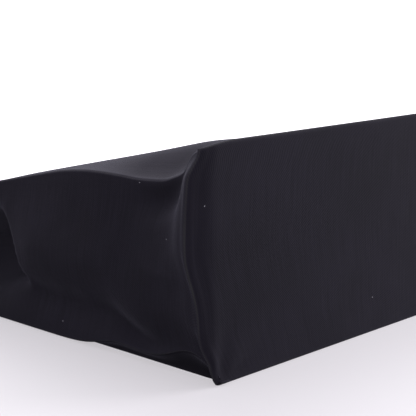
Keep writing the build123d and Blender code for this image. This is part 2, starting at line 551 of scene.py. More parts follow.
@dataclass
class Surface:
    """A cloth panel's outer face as a function of its own two lengths."""

    place: Place
    low: tuple[float, float]
    high: tuple[float, float]
    outward: Vector
    relief: Relief = Relief()
    p_scale: float = 1.0
    sense: float = field(init=False)

    def __post_init__(self) -> None:
        """Find which way round the two lengths give the normal that points outwards."""
        p, q = (self.low[0] + self.high[0]) / 2, (self.low[1] + self.high[1]) / 2
        step = 0.001
        middle = self.place(p, q)
        n = (self.place(p + step, q) - middle).cross(self.place(p, q + step) - middle)
        self.sense = 1.0 if n.dot(self.outward) > 0 else -1.0

    def raw_normal(self, p: float, q: float) -> Vector:
        """Outward normal of the smooth form.

        Args:
            p: Place along the first length.
            q: Place along the second length.

        Returns:
            The normal, one long.
        """
        e = 0.0004
        ep = e / self.p_scale
        a = max(p - ep, self.low[0]), min(p + ep, self.high[0])
        b = max(q - e, self.low[1]), min(q + e, self.high[1])
        across = self.place(a[1], q) - self.place(a[0], q)
        along = self.place(p, b[1]) - self.place(p, b[0])
        return across.cross(along).normalized() * self.sense

    def point(self, p: float, q: float, lift: float = 0.0) -> Vector:
        """Point of the settled face.

        Args:
            p: Place along the first length.
            q: Place along the second length.
            lift: How far to raise it along the normal.

        Returns:
            The point.
        """
        from_edge = min(
            (p - self.low[0]) * self.p_scale,
            (self.high[0] - p) * self.p_scale,
            q - self.low[1],
            self.high[1] - q,
        )
        h = lift + self.relief.at(p * self.p_scale, q, from_edge)
        at = self.place(p, q)
        return at + self.raw_normal(p, q) * h if h else at


@dataclass(frozen=True)
class Turn:
    """How a panel's cloth turns at one edge."""

    kind: EdgeKind = EdgeKind.PLAIN
    radius: float = 0.0
    half_angle: float = math.radians(45)
    steps: int = 5

    def lines(self) -> list[tuple[float, float]]:
        """Rows of points that turn the cloth in at an edge.

        Returns:
            Distances from the edge where rows lie, each with its drop inwards.
        """
        if self.kind is EdgeKind.PLAIN:
            return [(0.0, 0.0)]
        angle = math.radians(88) if self.kind is EdgeKind.SEAM else self.half_angle
        reach = self.radius if self.kind is EdgeKind.SEAM else self.radius * math.tan(angle)
        found = []
        for i in range(self.steps + 1):
            turned = angle * (1 - i / self.steps)
            along = reach - self.radius * math.sin(turned)
            found.append((max(along, 0.0), self.radius * (1 - math.cos(turned))))
        return found


def rows(
    low: float, high: float, first: Turn, last: Turn, step: float, fine: float, fine_for: float
) -> list[tuple[float, float]]:
    """Rows of points across a panel, close together near its first edge and at its turns.

    Args:
        low: Where the panel starts.
        high: Where it ends.
        first: The turn at its start.
        last: The turn at its end.
        step: The usual distance between rows.
        fine: The distance near the first edge.
        fine_for: How far the fine rows go.

    Returns:
        Pairs of place and drop, in rising order of place.
    """
    start = [(low + d, drop) for d, drop in first.lines()]
    end = [(high - d, drop) for d, drop in reversed(last.lines())]
    at, found = start[-1][0], []
    while True:
        at += fine + (step - fine) * ease(0.6 * fine_for, 1.6 * fine_for, at - low)
        if at > end[0][0] - 0.4 * fine:
            break
        found.append((at, 0.0))
    return start + found + end


def denser(
    found: list[tuple[float, float]], beyond: float, parts: int
) -> list[tuple[float, float]]:
    """Split the gaps between the flat rows beyond a place.

    Args:
        found: Pairs of place and drop.
        beyond: The place where the close rows start.
        parts: How many parts each gap gets.

    Returns:
        All the rows, in rising order of place.
    """
    near = [at for at, drop in found if at > beyond and drop == 0]
    gaps = zip(near, near[1:], strict=False)
    extra = [(a + (b - a) * k / parts, 0.0) for a, b in gaps for k in range(1, parts)]
    return sorted({*found, *extra})


def both_sides(half: list[tuple[float, float]]) -> list[tuple[float, float]]:
    """Rows of one half of a panel together with their mirror image about its middle."""
    return [(-at, drop) for at, drop in reversed(half[1:])] + half


def select_only(*objects: bpy.types.Object) -> None:
    """Select these objects and nothing else, and make the first one active.

    Args:
        objects: The objects.
    """
    bpy.ops.object.select_all(action="DESELECT")
    for o in objects:
        o.select_set(True)
    bpy.context.view_layer.objects.active = objects[0]


def apply_modifier(obj: bpy.types.Object, kind: str, **settings: object) -> None:
    """Add a modifier with these settings and apply it to the mesh.

    Args:
        obj: The piece.
        kind: The modifier's type.
        settings: Its properties.
    """
    modifier = obj.modifiers.new(kind.lower(), kind)
    for name, value in settings.items():
        setattr(modifier, name, value)
    select_only(obj)
    bpy.ops.object.modifier_apply(modifier=modifier.name)


def thicken(
    obj: bpy.types.Object,
    thickness: float,
    offset: float = -1.0,
    rounding: tuple[float, int] | None = None,
    crisp: float = 60,
) -> None:
    """Give a sheet its thickness and smooth shading.

    Args:
        obj: The sheet.
        thickness: Its thickness.
        offset: -1 grows it inwards from its face, 0 to both sides.
        rounding: Width and steps of its rounded edges.
        crisp: Angle in degrees above which an edge stays sharp.
    """
    apply_modifier(obj, "SOLIDIFY", thickness=thickness, offset=offset)
    if rounding:
        width, segments = rounding
        limits = {"limit_method": "ANGLE", "angle_limit": math.radians(60)}
        apply_modifier(obj, "BEVEL", width=width, segments=segments, **limits)
    select_only(obj)
    bpy.ops.object.shade_smooth_by_angle(angle=math.radians(crisp))


def grid_piece(
    name: str,
    across: Sequence[tuple[float, float]],
    along: Sequence[tuple[float, float]],
    spot: Callable[[tuple[float, float], tuple[float, float]], tuple[Vector, tuple[float, float]]],
    outward_check: Vector,
) -> bpy.types.Object:
    """Make a sheet from a grid primitive whose points are moved into place.

    Args:
        name: The piece's name.
        across: Rows of points across the sheet.
        along: Rows of points along it.
        spot: Gives a grid point's place and its place on the flat cloth.
        outward_check: Direction that the middle of the sheet faces.

    Returns:
        The new sheet, one cloth layer thin.
    """
    bpy.ops.object.select_all(action="DESELECT")
    nx, ny = len(across) - 1, len(along) - 1
    bpy.ops.mesh.primitive_grid_add(x_subdivisions=nx, y_subdivisions=ny, size=1.0)
    obj = bpy.context.object
    obj.name = obj.data.name = name
    mesh = obj.data
    flat = [Vector((0, 0))] * len(mesh.vertices)
    for vert in mesh.vertices:
        i = round((vert.co.x + 0.5) * nx)
        j = round((vert.co.y + 0.5) * ny)
        vert.co, flat[vert.index] = spot(across[i], along[j])
    uv = mesh.uv_layers.active or mesh.uv_layers.new()
    uv.name = "cloth"
    for loop in mesh.loops:
        uv.data[loop.index].uv = flat[loop.vertex_index]
    mesh.update()
    middle = mesh.polygons[(ny // 2) * nx + nx // 2]
    if middle.normal.dot(outward_check) < 0:
        mesh.flip_normals()
    return obj


def mark_wear_and_painted_light(obj: bpy.types.Object, amount: dict[int, float]) -> None:
    """Store each point's edge wear and painted light, for its finish to read.

    Args:
        obj: The sheet.
        amount: The edge wear and painted light at each point, by its index.
    """
    wear = obj.data.attributes.new("wear", "FLOAT", "POINT")
    for index, value in amount.items():
        wear.data[index].value = value


def panel(
    name: str,
    surface: Surface,
    across: Sequence[tuple[float, float]],
    along: Sequence[tuple[float, float]],
    thickness: float = CANVAS,
    lift: float = 0.0,
    flat_shift: tuple[float, float] = (0.0, 0.0),
) -> bpy.types.Object:
    """Make one canvas panel on a surface, thickened inwards.

    Args:
        name: The piece's name.
        surface: The outer face that the panel follows.
        across: Rows of points across the panel.
        along: Rows of points along it.
        thickness: The cloth's thickness, inwards from its face.
        lift: How far its face stands off the surface.
        flat_shift: Where the panel lies on the roll of cloth.

    Returns:
        The finished sheet.
    """

    def spot(a: tuple[float, float], b: tuple[float, float]) -> tuple[Vector, tuple[float, float]]:
        """Place one point of the panel.

        Args:
            a: A row across the panel: its place and its drop inwards.
            b: A row along the panel: its place and its drop inwards.

        Returns:
            The point, and its place on the flat cloth.
        """
        (p, drop_p), (q, drop_q) = a, b
        at = surface.point(p, q)
        drop = drop_p + drop_q - lift
        if drop:
            at = at - surface.raw_normal(p, q) * drop
        return at, (p * surface.p_scale + flat_shift[0], q + flat_shift[1])

    obj = grid_piece(name, across, along, spot, surface.outward)
    low, high = surface.low, surface.high
    uv = obj.data.uv_layers["cloth"].data
    # Edge wear and painted highlight along the panel's edges and folds, stored in the wear attribute
    wear_and_painted_light = {}
    for loop in obj.data.loops:
        p = (uv[loop.index].uv.x - flat_shift[0]) / surface.p_scale
        q = uv[loop.index].uv.y - flat_shift[1]
        side = min(p - low[0], high[0] - p) * surface.p_scale
        wear_and_painted_light[loop.vertex_index] = max(wear(min(side, q)), wear(min(side, high[1] - q)))
    mark_wear_and_painted_light(obj, wear_and_painted_light)
    thicken(obj, thickness)
    return obj


# ------------------------------------------------------------------ finishes


def shade(colour: tuple[float, ...], by: float) -> tuple[float, ...]:
    """A colour made lighter or darker."""
    return tuple(c * by for c in colour)


class Nodes:
    """Short calls that build a material's node tree."""

    def __init__(self, name: str) -> None:
        """Start an empty material with a Principled shader.

        Args:
            name: The material's name.
        """
        self.material = bpy.data.materials.new(name)
        self.material.use_nodes = True
        self.tree = self.material.node_tree
        self.shader = self.tree.nodes["Principled BSDF"]

    def add(self, kind: str, **settings: object) -> bpy.types.Node:
        """Add a node.

        Args:
            kind: The node's type.
            settings: Its properties.

        Returns:
            The node.
        """
        node = self.tree.nodes.new(kind)
        for name, value in settings.items():
            setattr(node, name, value)
        return node

    def link(self, source: bpy.types.NodeSocket, target: bpy.types.NodeSocket) -> None:
        """Join two sockets."""
        self.tree.links.new(source, target)

    def math(self, operation: str, *values: object) -> bpy.types.NodeSocket:
        """Add a Math node.

        Args:
            operation: What it does.
            values: Sockets or numbers, in order.

        Returns:
            Its result.
        """
        node = self.add("ShaderNodeMath", operation=operation)
        for i, value in enumerate(values):
            if isinstance(value, bpy.types.NodeSocket):
                self.link(value, node.inputs[i])
            else:
                node.inputs[i].default_value = value
        return node.outputs[0]

    def noise(
        self, vector: bpy.types.NodeSocket, scale: float, detail: float = 2.0
    ) -> bpy.types.NodeSocket:
        """Add noise from 0 to 1.

        Args:
            vector: Where it is read.
            scale: How fine it is.
            detail: How many finer layers it has.

        Returns:
            The noise.
        """
        node = self.add("ShaderNodeTexNoise")
        node.inputs["Scale"].default_value = scale
        node.inputs["Detail"].default_value = detail
        self.link(vector, node.inputs["Vector"])
        return node.outputs["Fac"]

    def ramp(
        self, value: bpy.types.NodeSocket, stops: Iterable[tuple[float, tuple[float, float, float]]]
    ) -> bpy.types.NodeSocket:
        """Add a colour ramp.

        Args:
            value: What it reads.
            stops: Pairs of place and colour.

        Returns:
            The colour.
        """
        node = self.add("ShaderNodeValToRGB")
        elements = node.color_ramp.elements
        for i, (at, colour) in enumerate(stops):
            element = elements[i] if i < 2 else elements.new(at)
            element.position = at
            element.color = (*colour, 1)
        self.link(value, node.inputs["Fac"])
        return node.outputs["Color"]

    def ranged(
        self,
        value: bpy.types.NodeSocket,
        to: tuple[float, float],
        start: tuple[float, float] = (0.0, 1.0),
        kind: str = "LINEAR",
    ) -> bpy.types.NodeSocket:
        """Carry a value from one range to another.

        Args:
            value: The value.
            to: The range that it ends in.
            start: The range that it starts in.
            kind: How it is eased between.

        Returns:
            The new value.
        """
        node = self.add("ShaderNodeMapRange", interpolation_type=kind)
        places = ("From Min", "From Max", "To Min", "To Max")
        for place, number in zip(places, (*start, *to), strict=True):
            node.inputs[place].default_value = number
        self.link(value, node.inputs["Value"])
        return node.outputs[0]

    def scaled(self, vector: bpy.types.NodeSocket, scale: tuple[float, float, float]) -> object:
        """Multiply a vector by a scale for each axis.

        Args:
            vector: The vector.
            scale: The scale.

        Returns:
            The scaled vector.
        """
        node = self.add("ShaderNodeMapping")
        node.inputs["Scale"].default_value = scale
        self.link(vector, node.inputs["Vector"])
        return node.outputs["Vector"]

    def bump(self, height: bpy.types.NodeSocket, distance: float, strength: float) -> None:
        """Drive the shader's normal from a height.

        Args:
            height: The height.
            distance: How far a height of 1 stands out.
            strength: Share of the effect.
        """
        node = self.add("ShaderNodeBump")
        node.inputs["Distance"].default_value = distance
        node.inputs["Strength"].default_value = strength
        self.link(height, node.inputs["Height"])
        self.link(node.outputs["Normal"], self.shader.inputs["Normal"])

    def dress(self, **values: object) -> None:
        """Set values on the shader's own sockets."""
        for name, value in values.items():
            self.shader.inputs[name.replace("_", " ")].default_value = value


@dataclass(frozen=True)
class TwillFinish:
    """Black cotton twill: diagonal ridges, slubs, faded patches and specks of lint."""

    name: str
    colour: tuple[float, float, float]
    ridge_pitch: float = 0.00095
    ridge_angle: float = math.radians(52)
    yarn_pitch: float = 0.00062
    relief: float = 0.00006
    sheen: float = 0.075
    lint: bool = True

    def make(self) -> bpy.types.Material:
        """Build the material on the piece's own cloth coordinates.

        Returns:
            The material.
        """
        n = Nodes(self.name)
        flat = n.add("ShaderNodeUVMap", uv_map="cloth").outputs["UV"]
        warp = n.noise(flat, 210.0, 1.0)
        axes = n.add("ShaderNodeSeparateXYZ")
        n.link(flat, axes.inputs[0])
        u, v = axes.outputs[0], axes.outputs[1]
        turn = 2 * math.pi / self.ridge_pitch
        diagonal = n.math(
            "ADD",
            n.math("MULTIPLY", u, turn * math.sin(self.ridge_angle)),
            n.math("MULTIPLY", v, turn * math.cos(self.ridge_angle)),
        )
        diagonal = n.math("ADD", diagonal, n.math("MULTIPLY", warp, 1.1))
        ridges = n.math("SINE", diagonal)
        yarns = n.math("SINE", n.math("MULTIPLY", u, 2 * math.pi / self.yarn_pitch))
        picks = n.math("SINE", n.math("MULTIPLY", v, 2 * math.pi / self.yarn_pitch))
        weave = n.math("ADD", ridges, n.math("MULTIPLY", n.math("MULTIPLY", yarns, picks), 0.35))
        slubs = n.noise(n.scaled(flat, (900.0, 26.0, 1.0)), 1.0, 2.0)
        fuzz = n.noise(flat, 2600.0, 2.0)
        height = n.math("ADD", n.math("MULTIPLY", weave, 0.5), n.math("MULTIPLY", slubs, 1.5))
        height = n.math("ADD", height, n.math("MULTIPLY", fuzz, 0.8))
        n.bump(height, self.relief, 0.85)
        patches = n.noise(flat, 17.0, 4.0)
        tone = n.math("ADD", n.math("MULTIPLY", patches, 0.55), n.math("MULTIPLY", slubs, 0.45))
        tone = n.math("ADD", tone, n.math("MULTIPLY", weave, 0.06))
        # The wear attribute lightens the tone with edge wear and painted highlight along folds and seam
        # edges, and darkens it with painted shade on the back's curled edge; the pale top of the ramp shows
        # the highlight
        wear_and_painted_light = n.add("ShaderNodeAttribute", attribute_name="wear").outputs["Fac"]
        tone = n.math("ADD", tone, n.math("MULTIPLY", wear_and_painted_light, 0.55))
        pale = shade((0.96, 0.93, 1.0), 2.4 * self.colour[2])
        colour = n.ramp(
            tone, [(0.25, shade(self.colour, 0.62)), (0.70, shade(self.colour, 1.42)), (1.0, pale)]
        )
        if self.lint:
            colour = self.with_lint(n, flat, colour)
        n.link(colour, n.shader.inputs["Base Color"])
        n.link(n.ranged(patches, (0.80, 0.96)), n.shader.inputs["Roughness"])
        n.dress(Specular_IOR_Level=0.12, Sheen_Weight=self.sheen, Sheen_Roughness=0.38)
        n.dress(Sheen_Tint=(0.80, 0.76, 1.0, 1.0))
        return n.material

    def with_lint(
        self, n: Nodes, flat: bpy.types.NodeSocket, colour: bpy.types.NodeSocket
    ) -> bpy.types.NodeSocket:
        """Scatter a few pale specks of lint over a colour.

        Args:
            n: The material's nodes.
            flat: The piece's own cloth coordinates.
            colour: The cloth's colour.

        Returns:
            The colour with its specks.
        """
        specks = n.add("ShaderNodeTexVoronoi", voronoi_dimensions="2D")
        specks.inputs["Scale"].default_value = 34.0
        n.link(flat, specks.inputs["Vector"])
        dots = n.math("LESS_THAN", specks.outputs["Distance"], 0.011)
        chosen = n.add("ShaderNodeSeparateXYZ")
        n.link(specks.outputs["Color"], chosen.inputs[0])
        rare = n.math("GREATER_THAN", chosen.outputs[0], 0.86)
        mask = n.math("MULTIPLY", dots, rare)
        mix = n.add("ShaderNodeMix", data_type="RGBA")
        mix.inputs[7].default_value = (0.30, 0.29, 0.33, 1)
        n.link(mask, mix.inputs[0])
        n.link(colour, mix.inputs[6])
        return mix.outputs[2]


@dataclass(frozen=True)
class TapeFinish:
    """Ribbed cotton binding tape."""

    name: str
    colour: tuple[float, float, float]
    rib: float = 0.0011

    def make(self) -> bpy.types.Material:
        """Build the material on the piece's own cloth coordinates.

        Returns:
            The material.
        """
        n = Nodes(self.name)
        flat = n.add("ShaderNodeUVMap", uv_map="cloth").outputs["UV"]
        axes = n.add("ShaderNodeSeparateXYZ")
        n.link(flat, axes.inputs[0])
        ribs = n.math("SINE", n.math("MULTIPLY", axes.outputs[1], 2 * math.pi / self.rib))
        wear = n.noise(flat, 60.0, 3.0)
        n.bump(n.math("ADD", ribs, wear), 0.0002, 0.8)
        tone = n.math("ADD", n.math("MULTIPLY", ribs, 0.12), wear)
        stops = [(0.2, shade(self.colour, 0.6)), (0.8, shade(self.colour, 1.5))]
        n.link(n.ramp(tone, stops), n.shader.inputs["Base Color"])
        n.dress(Roughness=0.86, Specular_IOR_Level=0.25, Sheen_Weight=0.35, Sheen_Roughness=0.4)
        return n.material


@dataclass(frozen=True)
class ThreadFinish:
    """Spun polyester sewing thread with a soft gleam and a twist."""

    name: str
    colour: tuple[float, float, float]

    def make(self) -> bpy.types.Material:
        """Build the material on object coordinates.

        Returns:
            The material.
        """
        n = Nodes(self.name)
        place = n.add("ShaderNodeTexCoord").outputs["Object"]
        twist = n.noise(place, 3200.0, 2.0)
        n.bump(twist, 0.0001, 0.7)
        stops = [(0.3, shade(self.colour, 0.7)), (0.7, shade(self.colour, 1.4))]
        n.link(n.ramp(twist, stops), n.shader.inputs["Base Color"])
        n.dress(Roughness=0.55, Specular_IOR_Level=0.4, Sheen_Weight=0.3, Sheen_Roughness=0.4)
        return n.material


@dataclass(frozen=True)
class BoardFinish:
    """Dark pressed fibre board with a grained face and scuffed patches."""

    name: str
    colour: tuple[float, float, float]

    def make(self) -> bpy.types.Material:
        """Build the material on object coordinates.

        Returns:
            The material.
        """
        n = Nodes(self.name)
        place = n.add("ShaderNodeTexCoord").outputs["Object"]
        fibre = n.noise(n.scaled(place, (120.0, 120.0, 900.0)), 1.0, 5.0)
        scuff = n.noise(place, 26.0, 4.0)
        n.bump(fibre, 0.0002, 0.6)
        tone = n.math("ADD", n.math("MULTIPLY", fibre, 0.6), n.math("MULTIPLY", scuff, 0.4))
        stops = [(0.35, shade(self.colour, 0.6)), (0.7, shade(self.colour, 1.9))]
        n.link(n.ramp(tone, stops), n.shader.inputs["Base Color"])
        n.link(n.ranged(scuff, (0.55, 0.85)), n.shader.inputs["Roughness"])
        n.dress(Specular_IOR_Level=0.35)
        return n.material


@dataclass(frozen=True)
class Finishes:
    """Every finish that the bag uses, made once."""

    twill: bpy.types.Material
    strap: bpy.types.Material
    tape: bpy.types.Material
    thread: bpy.types.Material
    board: bpy.types.Material


def make_finishes() -> Finishes:
    """Make the bag's materials.

    Returns:
        The materials by their use.
    """
    ink = (0.0103, 0.0089, 0.0142)
    return Finishes(
        TwillFinish("black_twill", ink).make(),
        TwillFinish("black_strap_twill", ink, lint=False, relief=0.00012).make(),
        TapeFinish("black_binding_tape", (0.016, 0.015, 0.019)).make(),
        ThreadFinish("black_thread", (0.030, 0.028, 0.036)).make(),
        BoardFinish("pressed_board", (0.030, 0.030, 0.033)).make(),
    )


def dress(obj: bpy.types.Object, material: bpy.types.Material) -> None:
    """Give a piece its one material."""
    obj.data.materials.clear()
    obj.data.materials.append(material)


# ------------------------------------------------------------------ stitching


@dataclass(frozen=True)
class Stitch:
    """One lock stitch lying on the cloth."""

    length: float = 0.0024
    width: float = 0.00055
    height: float = 0.00042
    pitch: float = 0.0032

    def template(self) -> tuple[list[Vector], list[tuple[int, ...]]]:
        """Shape one stitch from a small sphere.

        Returns:
            Its points and faces.
        """
        bpy.ops.object.select_all(action="DESELECT")
        bpy.ops.mesh.primitive_uv_sphere_add(segments=6, ring_count=4, radius=0.5)
        obj = bpy.context.object
        bpy.ops.object.mode_set(mode="EDIT")
        bpy.ops.mesh.select_all(action="SELECT")
        bpy.ops.transform.rotate(
            value=math.pi / 2, orient_axis="Y", center_override=(0.0, 0.0, 0.0)
        )
        bpy.ops.transform.resize(value=(self.length, self.width, self.height))
        bpy.ops.mesh.normals_make_consistent(inside=False)
        bpy.ops.object.mode_set(mode="OBJECT")
        points = [v.co.copy() for v in obj.data.vertices]
        faces = [tuple(f.vertices) for f in obj.data.polygons]
        mesh = obj.data
        bpy.data.objects.remove(obj)
        bpy.data.meshes.remove(mesh)
        return points, faces

    def sew(self, name: str, places: Sequence[Matrix]) -> bpy.types.Object:
        """Copy the stitch to every place as one piece.

        Args:
            name: The piece's name.
            places: One matrix for each stitch, X along it and Z out of the cloth.

        Returns:
            The rows of stitches as one object.
        """
        points, faces = self.template()
        all_points = [m @ p for m in places for p in points]
        count = len(points)
        all_faces = [tuple(k * count + i for i in f) for k in range(len(places)) for f in faces]
        mesh = bpy.data.meshes.new(name)
        mesh.from_pydata(all_points, [], all_faces)
        mesh.shade_smooth()
        obj = bpy.data.objects.new(name, mesh)
        bpy.context.scene.collection.objects.link(obj)
        return obj


STITCH = Stitch()


def frame_at(at: Vector, ahead: Vector, up: Vector) -> Matrix:
    """Where a stitch lies, with X along it and Z out of the cloth.

    Args:
        at: Its middle.
        ahead: Direction along it.
        up: Direction near the cloth's normal.

    Returns:
        The matrix that carries a stitch there.
    """
    x = ahead.normalized()
    y = up.cross(x).normalized()
    z = x.cross(y)
    m = Matrix((x, y, z)).transposed().to_4x4()
    m.translation = at
    return m


def stitch_row(
    spot: Callable[[float], tuple[Vector, Vector]], length: float, start: float = 0.0
) -> list[Matrix]:
    """Matrices of a row of stitches along a line.

    Args:
        spot: Gives the line's point and the cloth's normal at a distance along it.
        length: The row's length.
        start: Where the first stitch begins.

    Returns:
        One matrix for each stitch.
    """
    count = max(1, int((length - start) / STITCH.pitch))
    near = 0.0004
    found = []
    for i in range(count):
        at = start + (i + 0.5) * (length - start) / count
        (a, _), (b, _) = spot(at - near), spot(at + near)
        middle, normal = spot(at)
        found.append(frame_at(middle, b - a, normal))
    return found


def row_on(
    surface: Surface, first: tuple[float, float], last: tuple[float, float], lift: float
) -> list[Matrix]:
    """Stitches in a straight line on a surface's flat cloth.

    Args:
        surface: The cloth's outer face.
        first: Where the row starts on the flat cloth.
        last: Where it ends.
        lift: How far the stitches stand off the face; below 0 they are on its inner side.

    Returns:
        One matrix for each stitch.
    """
    dp = (last[0] - first[0]) * surface.p_scale
    length = math.hypot(dp, last[1] - first[1])

    def spot(d: float) -> tuple[Vector, Vector]:
        """Place one point of the row.

        Args:
            d: Distance along the row.

        Returns:
            The point, and the cloth's normal there.
        """
        t = d / length
        p = first[0] + (last[0] - first[0]) * t
        q = first[1] + (last[1] - first[1]) * t
        up = surface.raw_normal(p, q) * (1 if lift > 0 else -1)
        return surface.point(p, q, lift), up

    return stitch_row(spot, length)


# ------------------------------------------------------------------ the bag's shell


@dataclass
class Shell:
    """The five canvas panels, which meet at soft folds and turned seams."""

    form: BagForm
    finishes: Finishes
    seam_turn: Turn = Turn(EdgeKind.SEAM, 0.0015, steps=6)
    low_turn: Turn = Turn(EdgeKind.SEAM, 0.0013, steps=5)
    side_fold: Turn = Turn(EdgeKind.FOLD, 0.0022, math.radians(45), 5)
    base_fold: Turn = Turn(EdgeKind.FOLD, 0.0032, math.radians(38.6), 6)
    rim_turn: Turn = Turn(EdgeKind.SEAM, 0.0008, steps=4)
    blend_from: float = -0.028
    blend_to: float = -0.005
    surfaces: dict[str, Surface] = field(default_factory=dict)
    made: list[tuple[bpy.types.Object, tuple[float, float], str]] = field(default_factory=list)

    def __post_init__(self) -> None:
        """Lay out the panels' surfaces."""
        f = self.form
        w, length = f.half_width, f.length
        self.surfaces["front"] = Surface(
            f.front, (-w, 0), (w, length), Vector((0, 0, 1)), Relief(0.0006, 0.06, seed=1.5)
        )
        self.surfaces["back"] = Surface(f.back, (-w, 0), (w, length), Vector((0, 0, -1)))
        self.surfaces["base"] = Surface(
            f.base,
            (-1, 0),
            (1, f.depth),
            Vector((0, -1, 0)),
            Relief(0.00035, 0.055, 0.00012, 0.012, 6.2, 0.003, self.base_creases),
            p_scale=w,
        )
        for side in Side:
            form = f.side(side)
            self.surfaces[side.name] = Surface(
                lambda v, q, s=side: f.gusset(s, v, q),
                (0, 0),
                (length, f.gusset_cut),
                Vector((side.value, 0, 0)),
                Relief(0.0009, 0.040, 0.00022, 0.013, form.seed),
            )

    def base_creases(self, p: float, z: float) -> float:
        """Small creases that fan out from the base's lower corners.

        Args:
            p: Place across the base, from its middle.
            z: Height up the cloth.

        Returns:
            The height of the creases, outwards.
        """
        u = self.form.half_width - abs(p)
        reach = math.hypot(u - 0.002, z)
        angle = math.atan2(z, u - 0.002)
        fan = math.cos(9.0 * angle + 0.6) * ease(0.006, 0.016, reach) * (1 - ease(0.018, 0.046, reach))
        board_end = 0.00025 * bell(u, 0.001, 0.002) * ease(0.012, 0.03, z)
        side = Side.LEFT if p < 0 else Side.RIGHT
        from_seam = (1 - abs(p) / self.form.half_width) * (
            self.form.half_width + self.form.seam_out(side, z)
        )
        pressed = 0.00045 * bell(from_seam, 0.0034, 0.0018) - 0.0003 * bell(from_seam, 0.0085, 0.002)
        return 0.00055 * fan + board_end + pressed

    def bend(self, obj: bpy.types.Object) -> None:
        """Bake a piece's placement into its mesh; where its stretch towards the lifting front panel would
        start and end is worked out but not used.

        Args:
            obj: The piece.
        """
        start = self.form.hinge + self.form.normal * self.blend_from
        end = self.form.hinge + self.form.normal * self.blend_to
        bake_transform(obj)

    def finish(
        self, obj: bpy.types.Object, node: str, flat: tuple[float, float], held: str = "laid"
    ) -> bpy.types.Object:
        """Dress a panel, hide the CAD node that it stands for and keep it in the list of made panels.

        Args:
            obj: The panel.
            node: The CAD node.
            flat: The size that it was cut to.
            held: How the bag holds it.

        Returns:
            The panel.
        """
        dress(obj, self.finishes.twill)
        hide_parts(node)
        LOG.info("made %s with %d faces", obj.name, len(obj.data.polygons))
        self.made.append((obj, flat, held))
        return obj

    def build(self) -> None:
        """Make all five panels."""
        self.build_base()
        self.build_front()
        self.build_back()
        for side in Side:
            self.build_gusset(side)

    def build_base(self) -> None:
        """The upright base, with its ends standing out past the gussets."""
        f = self.form
        s = self.surfaces["base"]
        half = rows(0, f.half_width, Turn(), self.seam_turn, 0.0045, 0.0045, 0.05)
        half = denser(half, f.half_width - 0.035, 2)
        across = both_sides([(at / f.half_width, drop) for at, drop in half])
        along = rows(0, f.depth, self.low_turn, self.base_fold, 0.0028, 0.0018, 0.03)
        obj = panel("base_cloth", s, across, along)
        self.finish(obj, "base_panel", (2 * f.half_width + 0.04, f.depth), "stretched")
        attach(obj, "bag_body")

    def build_front(self) -> None:
        """The front panel, which slopes from the base's fold to the mouth."""
        f = self.form
        half = rows(0, f.half_width, Turn(), self.side_fold, 0.005, 0.005, 0.05)
        across = both_sides(denser(half, f.half_width - 0.06, 2))
        along = rows(0, f.length, self.base_fold, self.rim_turn, 0.005, 0.0022, 0.12)
        obj = panel("front_cloth", self.surfaces["front"], across, along, flat_shift=(0, 0.12))
        self.finish(obj, "front_panel", (2 * f.half_width, f.length), "stretched")
        self.bend(obj)

    def build_back(self) -> None:
        """The back panel, flat on the table with its side edges curling up to the seams."""
        f = self.form
        half = rows(0, f.half_width, Turn(), self.low_turn, 0.008, 0.008, 0.05)
        across = both_sides(denser(half, f.half_width - 0.02, 10))
        along = rows(0, f.length, self.low_turn, self.rim_turn, 0.007, 0.0022, 0.08)
        obj = panel("back_cloth", self.surfaces["back"], across, along)
        # Painted shade: the curled-up edge is darkened through the wear attribute, so that it reads as the
        # shadowed gap under the gusset
        wear_and_painted_light = obj.data.attributes["wear"].data
        for vertex in obj.data.vertices:
            wear_and_painted_light[vertex.index].value -= ease(0.0010, 0.0040, vertex.co.z)
        self.finish(obj, "back_panel", (2 * f.half_width, f.length))
        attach(obj, "bag_body")

    def build_gusset(self, side: Side) -> None:
        """A gusset, sunk between its seams and tucked in towards the mouth.

        Args:
            side: The side that it is on.
        """
        f = self.form
        name = side.name.lower()
        along = rows(0, f.length, self.seam_turn, self.rim_turn, 0.0045, 0.0018, 0.17)
        across = rows(0, f.gusset_cut, self.low_turn, self.side_fold, 0.0022, 0.0016, 0.03)
        obj = panel(f"{name}_gusset_cloth", self.surfaces[side.name], along, across, flat_shift=(0, 0.5))
        self.finish(obj, f"{name}_gusset", (f.length, f.gusset_cut), "folded")
        self.bend(obj)

    def declare(self) -> None:
        """Go through the made panels; nothing is done with their flat sizes."""
        for obj, flat, held in self.made:
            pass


# ------------------------------------------------------------------ mouth facings


